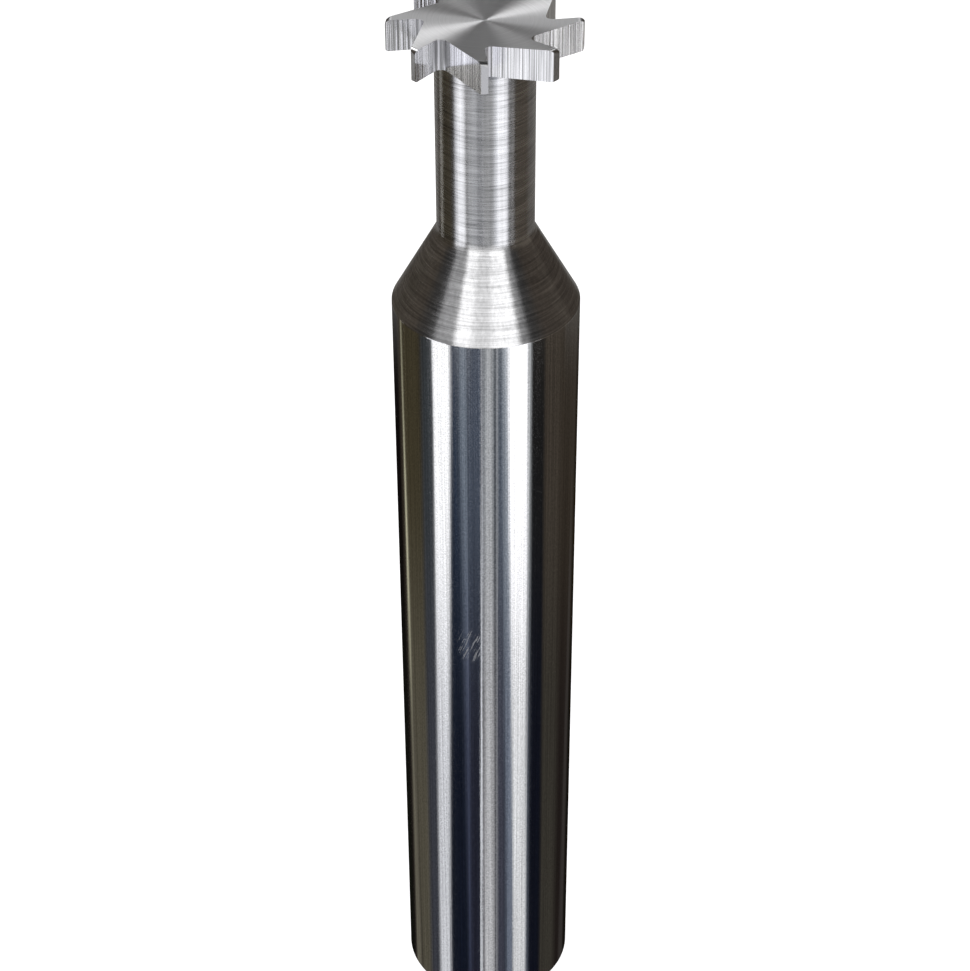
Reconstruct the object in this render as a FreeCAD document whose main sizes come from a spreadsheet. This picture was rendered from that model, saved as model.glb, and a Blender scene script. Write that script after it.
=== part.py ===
"""Woodruff keyseat cutter, straight teeth, right-hand cut, turned and ground from one bar of tool steel.

The cutter stands on the plain end of its shank: the tool's axis is Z, z = 0 is the shank's end face and
the toothed head is at the top. The first tooth's cutting edge lies in the XZ plane, on the +X side.
A revolved blank carries the shank, the shoulder cone, the neck and the head. One gullet, cut down
through the head, makes a rake face, a round root, a tooth back and the relieved land of the next tooth,
and a polar pattern repeats it for every tooth.
"""

import FreeCAD, Part
import math
import os

import Sketcher

NODE = "keyseat_cutter"

# alias, value in millimetres or degrees, what it is
SIZES = (
    ("overall_length", 82.55, "shank end to end face of the head"),
    ("shank_diameter", 12.7, "ground shank, held in a collet or a side lock holder"),
    ("shank_length", 62.2, "straight ground part of the shank"),
    ("end_chamfer", 0.4, "45 degree chamfer at the shank's free end"),
    ("shoulder_angle", 29.0, "slope of the shoulder cone, measured from the axis"),
    ("neck_diameter", 6.5, "neck that gives the head its reach"),
    ("neck_fillet", 0.55, "radius where the neck runs into the underside of the head"),
    ("head_diameter", 12.5, "circle through the cutting edges"),
    ("head_width", 2.12, "width of the keyseat that the head cuts"),
    ("dish_angle", 1.0, "hollow grind of both side faces, so that only their rims rub"),
    ("upper_corner_radius", 0.4, "round on each tooth's corner at the end face"),
    ("lower_corner_chamfer", 0.12, "45 degree chamfer on each tooth's corner at the underside"),
    ("tooth_count", 8, "teeth, evenly spaced"),
    ("rake_angle", 5.0, "positive radial rake, so that each edge leads its own root"),
    ("land_width", 0.44, "width of the relieved land behind each cutting edge"),
    ("land_relief", 12.0, "fall of the land behind its cutting edge"),
    ("root_radius", 0.45, "round root of each gullet"),
    ("root_clearance", 0.03, "how far the gullet floors stay outside the neck's fillet"),
    ("grinding_stock", 0.05, "extra radius of the turned head, ground away with the land"),
    ("gullet_overrun", 0.3, "how far the gullet grind runs on below the head"),
)

ORIGIN, AXIS_X = (-1, 1), -1
START, END, CENTRE = 1, 2, 3


def make_sheet(doc):
    """The driving dimensions, one row each: name, value, and what it is."""
    sheet = doc.addObject("Spreadsheet::Sheet", "sizes")
    for row, (alias, value, note) in enumerate(SIZES, start=1):
        sheet.set(f"A{row}", alias)
        sheet.set(f"B{row}", str(value))
        sheet.set(f"C{row}", note)
        sheet.setAlias(f"B{row}", alias)
    doc.recompute()
    return sheet


def origin_feature(body, role):
    """The body's own origin plane or axis with this role, such as XZ_Plane or Z_Axis."""
    return next(item for item in body.Origin.OriginFeatures if item.Role == role)


class Outline:
    """A closed outline in a sketch of the body, with every size bound to the sheet."""

    def __init__(self, body, name, plane_role):
        self.sketch = body.newObject("Sketcher::SketchObject", name)
        self.sketch.AttachmentSupport = [(origin_feature(body, plane_role), "")]
        self.sketch.MapMode = "FlatFace"

    def line(self, start, end, construction=False):
        """A straight edge between two points; its number in the sketch comes back."""
        segment = Part.LineSegment(FreeCAD.Vector(*start, 0), FreeCAD.Vector(*end, 0))
        return self.sketch.addGeometry(segment, construction)

    def arc(self, centre, radius, first, last):
        """An arc run anticlockwise from one angle to another, in radians."""
        circle = Part.Circle(FreeCAD.Vector(*centre, 0), FreeCAD.Vector(0, 0, 1), radius)
        return self.sketch.addGeometry(Part.ArcOfCircle(circle, first, last), False)

    def tie(self, kind, *parts):
        """A constraint without a size, such as Coincident, Tangent or Vertical."""
        self.sketch.addConstraint(Sketcher.Constraint(kind, *parts))

    def size(self, name, kind, parts, start, expression):
        """A constraint with a size: a first value, then the sheet's expression that sets it."""
        index = self.sketch.addConstraint(Sketcher.Constraint(kind, *parts, start))
        self.sketch.renameConstraint(index, name)
        self.sketch.setExpression(f"Constraints.{name}", expression)

    def place(self, name, point, position, expressions):
        """Fixes a point by its distances along the sketch's X and Y from the origin."""
        for direction, start, expression in zip("XY", position, expressions):
            if expression is not None:
                self.size(f"{name}_{direction.lower()}", f"Distance{direction}",
                          (*ORIGIN, *point), start, expression)

    def check(self):
        """Stops the build if the outline has freedom left or its constraints disagree."""
        if self.sketch.solve() != 0 or not self.sketch.FullyConstrained:
            raise RuntimeError(f"{self.sketch.Name} isn't fully constrained")


def on_circle(radius, angle):
    """A point at this distance from a sketch's origin, at an angle in radians from its X axis."""
    return radius * math.cos(angle), radius * math.sin(angle)


def step_from(point, distance, angle):
    """The point at a distance and an angle, in radians, from another one."""
    x, y = on_circle(distance, angle)
    return point[0] + x, point[1] + y


def turned_profile(body, sheet):
    """Half section of the turned blank in the XZ plane, from the shank's end to the end face."""
    outline = Outline(body, "turned_profile", "XZ_Plane")
    shank, neck = sheet.shank_diameter / 2, sheet.neck_diameter / 2
    head = sheet.head_diameter / 2 + sheet.grinding_stock
    upper = sheet.upper_corner_radius + sheet.grinding_stock
    lower = sheet.lower_corner_chamfer + sheet.grinding_stock
    top, fillet = sheet.overall_length, sheet.neck_fillet
    underside = top - sheet.head_width
    neck_foot = sheet.shank_length + (shank - neck) / math.tan(math.radians(sheet.shoulder_angle))
    dish = math.radians(sheet.dish_angle)
    fillet_rim = (neck + fillet, underside + math.tan(dish) * (head - lower - neck - fillet))
    upper_centre = (head - upper, top - upper)
    upper_face_rim = step_from(upper_centre, upper, math.pi / 2 + dish)
    face_centre = (0, upper_face_rim[1] - math.tan(dish) * upper_face_rim[0])

    end_face = outline.line((0, 0), (shank - sheet.end_chamfer, 0))
    end_chamfer = outline.line((shank - sheet.end_chamfer, 0), (shank, sheet.end_chamfer))
    shank_side = outline.line((shank, sheet.end_chamfer), (shank, sheet.shank_length))
    shoulder = outline.line((shank, sheet.shank_length), (neck, neck_foot))
    neck_side = outline.line((neck, neck_foot), (neck, fillet_rim[1] - fillet))
    under_fillet = outline.arc((neck + fillet, fillet_rim[1] - fillet), fillet, math.pi / 2, math.pi)
    under_face = outline.line(fillet_rim, (head - lower, underside))
    lower_corner = outline.line((head - lower, underside), (head, underside + lower))
    rim = outline.line((head, underside + lower), (head, upper_centre[1]))
    upper_corner = outline.arc(upper_centre, upper, 0, math.pi / 2 + dish)
    top_face = outline.line(upper_face_rim, face_centre)
    axis = outline.line(face_centre, (0, 0))

    outline.tie("Coincident", end_face, START, *ORIGIN)
    for before, after in ((end_face, end_chamfer), (end_chamfer, shank_side), (shank_side, shoulder),
                          (shoulder, neck_side), (under_face, lower_corner), (lower_corner, rim),
                          (top_face, axis)):
        outline.tie("Coincident", before, END, after, START)
    outline.tie("Coincident", axis, END, end_face, START)
    outline.tie("Tangent", neck_side, END, under_fillet, END)
    outline.tie("Tangent", under_fillet, START, under_face, START)
    outline.tie("Tangent", rim, END, upper_corner, START)
    outline.tie("Tangent", upper_corner, END, top_face, START)
    outline.tie("Horizontal", end_face)
    for upright in (shank_side, neck_side, rim, axis):
        outline.tie("Vertical", upright)

    head_radius = "sizes.head_diameter / 2 + sizes.grinding_stock"
    upper_size = "(sizes.upper_corner_radius + sizes.grinding_stock)"
    lower_size = "(sizes.lower_corner_chamfer + sizes.grinding_stock)"
    underside_height = "sizes.overall_length - sizes.head_width"
    outline.place("end_rim", (end_face, END), (shank - sheet.end_chamfer, 0),
                  ("sizes.shank_diameter / 2 - sizes.end_chamfer", None))
    outline.place("shank_foot", (end_chamfer, END), (shank, sheet.end_chamfer),
                  ("sizes.shank_diameter / 2", "sizes.end_chamfer"))
    outline.place("shoulder_rim", (shank_side, END), (shank, sheet.shank_length),
                  (None, "sizes.shank_length"))
    outline.place("neck", (shoulder, END), (neck, neck_foot), ("sizes.neck_diameter / 2", None))
    outline.size("shoulder_slope", "Angle", (shoulder,), math.radians(90 + sheet.shoulder_angle),
                 "(90 + sizes.shoulder_angle) * 1 deg")
    outline.size("fillet_radius", "Radius", (under_fillet,), fillet, "sizes.neck_fillet")
    outline.size("under_slope", "Angle", (under_face,), math.radians(-sheet.dish_angle),
                 "-sizes.dish_angle * 1 deg")
    outline.place("lower_face_rim", (under_face, END), (head - lower, underside),
                  (f"{head_radius} - {lower_size}", underside_height))
    outline.place("lower_rim", (lower_corner, END), (head, underside + lower),
                  (head_radius, f"{underside_height} + {lower_size}"))
    outline.place("upper_centre", (upper_corner, CENTRE), upper_centre,
                  (None, f"sizes.overall_length - {upper_size}"))
    outline.size("upper_round", "Radius", (upper_corner,), upper, upper_size)
    outline.size("top_slope", "Angle", (top_face,), math.radians(180 + sheet.dish_angle),
                 "(180 + sizes.dish_angle) * 1 deg")
    return outline


def turned_blank(body, sheet):
    """The blank: shank, shoulder cone, neck and untoothed head, turned about Z in one piece."""
    outline = turned_profile(body, sheet)
    blank = body.newObject("PartDesign::Revolution", "turned_blank")
    blank.Profile = outline.sketch
    blank.ReferenceAxis = (outline.sketch, ["V_Axis"])
    blank.Angle = 360
    return outline, blank


def gullet_profile(body, sheet):
    """One gullet seen from the end of the tool, with the first tooth's edge on +X.

    It runs in along the rake face of the first tooth, round the root, out along the back of the next
    tooth and over that tooth's relieved land, and closes outside the blank.
    """
    outline = Outline(body, "gullet_profile", "XY_Plane")
    outline.sketch.setExpression("AttachmentOffset.Base.z", "sizes.overall_length")
    radius, root = sheet.head_diameter / 2, sheet.root_radius
    pitch, rake = 2 * math.pi / sheet.tooth_count, math.radians(sheet.rake_angle)
    floor = sheet.neck_diameter / 2 + sheet.neck_fillet + sheet.root_clearance
    reach = radius / 2
    land_line = pitch - math.pi / 2 - math.radians(sheet.land_relief)

    edge, next_edge = (radius, 0), on_circle(radius, pitch)
    rake_out = step_from(edge, reach, rake)
    land_out = step_from(next_edge, reach, land_line + math.pi)
    heel = step_from(next_edge, sheet.land_width, land_line)
    centre = on_circle(floor + root, rake + math.asin((root - radius * math.sin(rake)) / (floor + root)))
    rake_foot = step_from(centre, root, rake - math.pi / 2)
    gap = math.dist(heel, centre)
    bearing = math.atan2(heel[1] - centre[1], heel[0] - centre[0])
    back_turn = bearing + math.acos(root / gap)
    back_foot = step_from(centre, root, back_turn)

    rake_face = outline.line(rake_out, rake_foot)
    root_arc = outline.arc(centre, root, back_turn, rake + 3 * math.pi / 2)
    back = outline.line(back_foot, heel)
    land = outline.line(heel, land_out)
    outer = outline.line(land_out, step_from(rake_out, reach, pitch))
    outer_side = outline.line(step_from(rake_out, reach, pitch), rake_out)
    spoke = outline.line((0, 0), next_edge, True)
    root_spoke = outline.line((0, 0), centre, True)
    first_spoke = outline.line((0, 0), edge, True)

    outline.tie("Tangent", rake_face, END, root_arc, END)
    outline.tie("Tangent", root_arc, START, back, START)
    for before, after in ((back, land), (land, outer), (outer, outer_side), (outer_side, rake_face)):
        outline.tie("Coincident", before, END, after, START)
    for line in (spoke, root_spoke, first_spoke):
        outline.tie("Coincident", line, START, *ORIGIN)
    outline.tie("PointOnObject", first_spoke, END, AXIS_X)
    outline.tie("PointOnObject", first_spoke, END, rake_face)
    outline.tie("PointOnObject", spoke, END, land)
    outline.tie("Coincident", root_spoke, END, root_arc, CENTRE)

    edge_radius = "sizes.head_diameter / 2"
    outer_reach = "sizes.head_diameter / 4"
    outline.size("edge_radius", "Distance", (first_spoke,), radius, edge_radius)
    outline.size("next_edge_radius", "Distance", (spoke,), radius, edge_radius)
    outline.size("tooth_pitch", "Angle", (spoke,), pitch, "360 / sizes.tooth_count * 1 deg")
    outline.size("rake", "Angle", (rake_face,), rake + math.pi, "(180 + sizes.rake_angle) * 1 deg")
    outline.size("root_round", "Radius", (root_arc,), root, "sizes.root_radius")
    outline.size("floor_reach", "Distance", (root_spoke,), floor + root,
                 "sizes.neck_diameter / 2 + sizes.neck_fillet + sizes.root_clearance + sizes.root_radius")
    outline.size("relief", "Angle", (land,), land_line + math.pi,
                 "(90 + 360 / sizes.tooth_count - sizes.land_relief) * 1 deg")
    outline.size("land", "Distance", (land, START, spoke, END), sheet.land_width, "sizes.land_width")
    outline.size("rake_reach", "Distance", (rake_face, START, first_spoke, END), reach, outer_reach)
    outline.size("land_reach", "Distance", (land, END, spoke, END), reach, outer_reach)
    outline.size("outer_side", "Distance", (outer_side,), reach, outer_reach)
    outline.size("outer_turn", "Angle", (outer_side,), pitch + math.pi,
                 "(180 + 360 / sizes.tooth_count) * 1 deg")
    return outline


def toothed_head(body, sheet):
    """Cuts one gullet down through the head and repeats it round the axis."""
    outline = gullet_profile(body, sheet)
    gullet = body.newObject("PartDesign::Pocket", "gullet")
    gullet.Profile = outline.sketch
    gullet.Type = "Length"
    gullet.setExpression("Length", "sizes.head_width + sizes.gullet_overrun")
    teeth = body.newObject("PartDesign::PolarPattern", "teeth")
    teeth.Originals = [gullet]
    teeth.Axis = (origin_feature(body, "Z_Axis"), [""])
    teeth.Angle = 360
    teeth.setExpression("Occurrences", "sizes.tooth_count")
    body.Tip = teeth
    return outline, gullet, teeth


def check_build(doc, outlines, blank, gullet, teeth):
    """Stops the build if a feature failed, an outline is loose or a cut took nothing away."""
    for outline in outlines:
        outline.check()
    for item in doc.Objects:
        if "Invalid" in item.State or "Error" in item.State:
            raise RuntimeError(f"{item.Name} failed: {item.State}")
    if not blank.Shape.Volume > gullet.Shape.Volume > teeth.Shape.Volume:
        raise RuntimeError("a gullet points away from the head and cuts nothing")


def check_shape(body):
    """Stops the build unless the body is one valid closed solid."""
    shape = body.Shape
    if shape.isNull() or not shape.isValid() or len(shape.Solids) != 1:
        raise RuntimeError(f"{body.Label} isn't one valid solid")
    box = shape.BoundBox
    print(f"{body.Label}: {box.XLength:.2f} x {box.YLength:.2f} x {box.ZLength:.2f} mm, "
          f"{shape.Volume / 1000:.3f} cm3, {len(shape.Faces)} faces")


def main():
    os.makedirs("parts", exist_ok=True)
    doc = FreeCAD.newDocument("woodruff_keyseat_cutter")
    sheet = make_sheet(doc)
    body = doc.addObject("PartDesign::Body", NODE)
    body.Label = NODE
    profile, blank = turned_blank(body, sheet)
    doc.recompute()
    gullet_outline, gullet, teeth = toothed_head(body, sheet)
    doc.recompute()
    check_build(doc, (profile, gullet_outline), blank, gullet, teeth)
    check_shape(body)
    body.Shape.exportStep(f"parts/{NODE}.step")


main()
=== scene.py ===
"""A long-reach woodruff keyseat cutter in bright ground steel, standing on its shank in a plain studio.

The frame's axis Z is the tool's axis, z = 0 is the shank's end face and the first tooth's cutting edge is
on +X. Sizes are in millimetres and angles in degrees; meshes are made in metres. The cutter is one piece:
a wedge with a single tooth, from end face to shank end, is laid out as patches, and a node tree repeats it
round the axis, welds it into one closed skin and gives each kind of machined face its own finish.
"""

import logging
import math
from dataclasses import dataclass, field
from enum import Enum
from typing import Callable, Iterable, Sequence, Union

import bmesh
import bpy
from mathutils import Matrix, Vector


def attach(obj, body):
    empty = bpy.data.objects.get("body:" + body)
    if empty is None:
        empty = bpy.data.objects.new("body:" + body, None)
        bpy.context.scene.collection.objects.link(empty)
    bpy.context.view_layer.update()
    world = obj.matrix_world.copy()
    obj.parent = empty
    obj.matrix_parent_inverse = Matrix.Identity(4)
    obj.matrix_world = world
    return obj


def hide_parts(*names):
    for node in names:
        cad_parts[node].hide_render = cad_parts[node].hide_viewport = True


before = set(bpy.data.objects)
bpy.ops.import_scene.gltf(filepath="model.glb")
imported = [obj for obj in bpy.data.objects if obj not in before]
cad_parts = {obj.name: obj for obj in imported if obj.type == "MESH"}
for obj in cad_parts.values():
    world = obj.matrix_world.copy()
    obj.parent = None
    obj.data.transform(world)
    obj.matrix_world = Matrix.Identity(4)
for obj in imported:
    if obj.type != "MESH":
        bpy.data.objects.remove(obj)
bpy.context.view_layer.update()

LOG = logging.getLogger("keyseat_cutter")

NODE = "keyseat_cutter"
PIECE = "ground_cutter"
BODY = "root"

MM = 0.001
MM_PER_METRE = 1000.0
MICROMETRE = 1e-6
CM3_PER_M3 = 1e6

Colour = tuple[float, float, float]
Value = Union[float, int, Sequence[float], bpy.types.NodeSocket]


class Region(Enum):
    """The kinds of machined face, in the order of the piece's material slots."""

    SHANK = 0
    SHANK_END = 1
    CONE = 2
    NECK = 3
    SIDE_FACE = 4
    UNDERSIDE = 5
    RAKE = 6
    BACK = 7
    ROOT = 8
    LAND = 9
    CORNER = 10


class Marks(Enum):
    """Ways in which a tool leaves marks on the steel."""

    TURNED = "turned_marks"
    FACED = "faced_marks"
    AXIAL = "axial_marks"
    GRAIN = "grain_marks"
    SCRATCHES = "scratch_marks"


class Spread(Enum):
    """The direction in which a finish smears its reflections."""

    ACROSS_TURNING = "across the turning or facing lines"
    ACROSS_AXIAL = "level, across lines that run along the axis"


# node help

# sockets that share a name with others of their node: the Mix node's colours and the Compare node's integers
MIX_FIRST, MIX_SECOND, MIX_RESULT = 6, 7, 2
COMPARE_FIRST, COMPARE_SECOND = 2, 3

NOISE_DETAIL = 2.0
NOISE_ROUGHNESS = 0.6


class Graph:
    """Adds nodes to one tree and links them."""

    def __init__(self, tree: bpy.types.NodeTree) -> None:
        """Keeps the tree that the nodes go into."""
        self.tree = tree

    def node(self, kind: str, inputs: dict[Union[str, int], Value] | None = None,
             **properties: object) -> bpy.types.Node:
        """Adds a node.

        Args:
            kind: Blender's type name of the node.
            inputs: what goes into its sockets, by name or number.
            **properties: the node's own settings.

        Returns:
            The new node.
        """
        made = self.tree.nodes.new(kind)
        for key, setting in properties.items():
            setattr(made, key, setting)
        for key, value in (inputs or {}).items():
            self.feed(made.inputs[key], value)
        return made

    def feed(self, socket: bpy.types.NodeSocket, value: Value) -> None:
        """Links a socket to another one, or sets its number, vector or colour."""
        if isinstance(value, bpy.types.NodeSocket):
            self.tree.links.new(value, socket)
        else:
            socket.default_value = value

    def math(self, operation: str, *values: Value) -> bpy.types.NodeSocket:
        """A Math node's result."""
        return self.node("ShaderNodeMath", dict(enumerate(values)), operation=operation).outputs[0]

    def vector_math(self, operation: str, *values: Value) -> bpy.types.NodeSocket:
        """A Vector Math node's vector result."""
        made = self.node("ShaderNodeVectorMath", dict(enumerate(values)), operation=operation)
        return made.outputs["Vector"]

    def length(self, vector: Value) -> bpy.types.NodeSocket:
        """A vector's length."""
        return self.node("ShaderNodeVectorMath", {0: vector}, operation="LENGTH").outputs["Value"]

    def combined(self, x: Value = 0.0, y: Value = 0.0, z: Value = 0.0) -> bpy.types.NodeSocket:
        """A vector from its three parts."""
        return self.node("ShaderNodeCombineXYZ", {0: x, 1: y, 2: z}).outputs[0]

    def scaled(self, vector: Value, factor: Value) -> bpy.types.NodeSocket:
        """A vector times a number."""
        made = self.node("ShaderNodeVectorMath", {0: vector, "Scale": factor}, operation="SCALE")
        return made.outputs["Vector"]

    def ramp(self, value: Value, low: Value, high: Value, smooth: bool = True) -> bpy.types.NodeSocket:
        """A number's place between two others, as 0 to 1.

        Args:
            value: the number.
            low: where the result is 0.
            high: where the result is 1; it may be below low.
            smooth: whether the result eases in and out.

        Returns:
            The result's socket.
        """
        kind = "SMOOTHSTEP" if smooth else "LINEAR"
        inputs = {"Value": value, "From Min": low, "From Max": high, "To Min": 0.0, "To Max": 1.0}
        return self.node("ShaderNodeMapRange", inputs, interpolation_type=kind).outputs["Result"]

    def blend(self, factor: Value, first: Value, second: Value) -> bpy.types.NodeSocket:
        """A mix of two colours."""
        made = self.node("ShaderNodeMix", data_type="RGBA", blend_type="MIX")
        self.feed(made.inputs[0], factor)
        self.feed(made.inputs[MIX_FIRST], first)
        self.feed(made.inputs[MIX_SECOND], second)
        return made.outputs[MIX_RESULT]

    def noise(self, vector: Value) -> bpy.types.NodeSocket:
        """Smooth 3-D noise from 0 to 1, with its mean at a half."""
        inputs = {"Vector": vector, "Scale": 1.0, "Detail": NOISE_DETAIL, "Roughness": NOISE_ROUGHNESS}
        return self.node("ShaderNodeTexNoise", inputs, noise_dimensions="3D").outputs[0]


SOCKET_KINDS = {float: "NodeSocketFloat", 3: "NodeSocketVector", 4: "NodeSocketColor"}


def new_group(name: str, inputs: dict[str, Value], outputs: dict[str, Value]) -> tuple[Graph, dict, dict]:
    """Starts a shader node group.

    Args:
        name: the group's name.
        inputs: each input's default, whose type sets the socket's kind.
        outputs: the same for the outputs.

    Returns:
        The group's graph, its input sockets and its output sockets, by name.
    """
    tree = bpy.data.node_groups.new(name, "ShaderNodeTree")
    for direction, sockets in (("INPUT", inputs), ("OUTPUT", outputs)):
        for label, default in sockets.items():
            kind = SOCKET_KINDS[float if isinstance(default, float) else len(default)]
            socket = tree.interface.new_socket(name=label, in_out=direction, socket_type=kind)
            socket.default_value = default
    graph = Graph(tree)
    entry, leave = graph.node("NodeGroupInput"), graph.node("NodeGroupOutput")
    return graph, {key: entry.outputs[key] for key in inputs}, {key: leave.inputs[key] for key in outputs}


def use_group(graph: Graph, name: str, inputs: dict[str, Value]) -> bpy.types.Node:
    """Places a node group in a tree and feeds its inputs."""
    made = graph.node("ShaderNodeGroup", node_tree=bpy.data.node_groups[name])
    for key, value in inputs.items():
        graph.feed(made.inputs[key], value)
    return made


# shapes

# points that agree to this many decimals of a millimetre are one point
SAME_POINT_DECIMALS = 5


class Patchwork:
    """Grids of points that become the faces of one mesh, with points that coincide used once."""

    def __init__(self) -> None:
        """Starts empty."""
        self.points: list[Vector] = []
        self.faces: list[list[int]] = []
        self.regions: list[int] = []
        self._known: dict[tuple[float, ...], int] = {}

    def point(self, position: Vector) -> int:
        """The number of the point at this place, which is added if it is new."""
        key = tuple(round(part, SAME_POINT_DECIMALS) + 0.0 for part in position)
        if key not in self._known:
            self._known[key] = len(self.points)
            self.points.append(position)
        return self._known[key]

    def grid(self, rows: Sequence[Sequence[Vector]], region: Region) -> None:
        """Adds the faces between rows of points.

        Args:
            rows: rows that run anticlockwise seen from the top, ordered from the top face's centre over
                the rim and down to the shank's end.
            region: what kind of face they are.
        """
        for upper, lower in zip(rows, rows[1:]):
            for index in range(len(upper) - 1):
                around = (upper[index], lower[index], lower[index + 1], upper[index + 1])
                corners = list(dict.fromkeys(self.point(corner) for corner in around))
                if len(corners) > 2:
                    self.faces.append(corners)
                    self.regions.append(region.value)

    def mesh(self, name: str) -> bpy.types.Mesh:
        """The patches as one mesh in metres, with each face's kind in the attribute "region"."""
        made = bpy.data.meshes.new(name)
        made.from_pydata([point * MM for point in self.points], [], self.faces)
        kinds = made.attributes.new("region", "INT", "FACE")
        kinds.data.foreach_set("value", self.regions)
        return made


def spaced(first: float, last: float, steps: int) -> list[float]:
    """Evenly spaced numbers from first to last, both included."""
    return [first + (last - first) * step / steps for step in range(steps + 1)]


def polar(radius: float, angle: float, height: float = 0.0) -> Vector:
    """The point at a radius, an angle in radians and a height."""
    return Vector((radius * math.cos(angle), radius * math.sin(angle), height))


@dataclass(frozen=True)
class TurnedBody:
    """The turned part of the tool: plain shank, shoulder cone and neck.

    The two blends are the lengths over which the shading rounds the cone's upper and lower end.
    """

    shank_radius: float = 6.35
    shank_length: float = 62.2
    end_chamfer: float = 0.4
    shoulder_angle: float = 29.0
    neck_radius: float = 3.25
    neck_fillet: float = 0.55
    foot_blend: float = 0.45
    shoulder_blend: float = 0.04
    shank_rows: int = 24
    neck_rows: int = 10
    cone_rows: int = 6
    fillet_rows: int = 10
    end_rings: int = 6

    @property
    def neck_foot(self) -> float:
        """The height where the cone reaches the neck."""
        fall = self.shank_radius - self.neck_radius
        return self.shank_length + fall / math.tan(math.radians(self.shoulder_angle))

    def lay(self, skin: Patchwork, angles: Sequence[float], head: "ToothedHead") -> None:
        """Lays the wedge's patches below the head.

        Args:
            skin: the patchwork that takes them.
            angles: the wedge's directions round the axis, in radians.
            head: the head that the neck's fillet runs into.
        """

        def rows(profile: Iterable[tuple[float, float]]) -> list[list[Vector]]:
            """Rows of points round the wedge, one for each radius and height."""
            return [[polar(radius, angle, height) for angle in angles] for radius, height in profile]

        tilt = math.radians(head.dish_angle)
        centre_height = head.underside(head.fillet_rim(self)) - self.neck_fillet * math.cos(tilt)
        centre_radius = self.neck_radius + self.neck_fillet
        turns = spaced(math.pi / 2 - tilt, math.pi, self.fillet_rows)
        fillet = [(centre_radius + self.neck_fillet * math.cos(turn),
                   centre_height + self.neck_fillet * math.sin(turn)) for turn in turns]
        skin.grid(rows(fillet), Region.NECK)
        neck_end = self.neck_foot + self.foot_blend
        neck = spaced(fillet[-1][1], neck_end, self.neck_rows) + [self.neck_foot]
        skin.grid(rows((self.neck_radius, height) for height in neck), Region.NECK)
        rise = self.neck_foot - self.shank_length
        shares = spaced(self.foot_blend / rise, 1 - self.shoulder_blend / rise, self.cone_rows)
        spread = self.shank_radius - self.neck_radius
        cone = [(self.neck_radius + spread * share, self.neck_foot - rise * share)
                for share in (0.0, *shares, 1.0)]
        skin.grid(rows(cone), Region.CONE)
        shank_start = self.shank_length - self.shoulder_blend
        shank = [self.shank_length] + spaced(shank_start, self.end_chamfer, self.shank_rows)
        skin.grid(rows((self.shank_radius, height) for height in shank), Region.SHANK)
        end_radius = self.shank_radius - self.end_chamfer
        chamfer = [(self.shank_radius, self.end_chamfer), (end_radius, 0.0)]
        skin.grid(rows(chamfer), Region.SHANK_END)
        end = [(radius, 0.0) for radius in spaced(end_radius, 0.0, self.end_rings)]
        skin.grid(rows(end), Region.SHANK_END)


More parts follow.
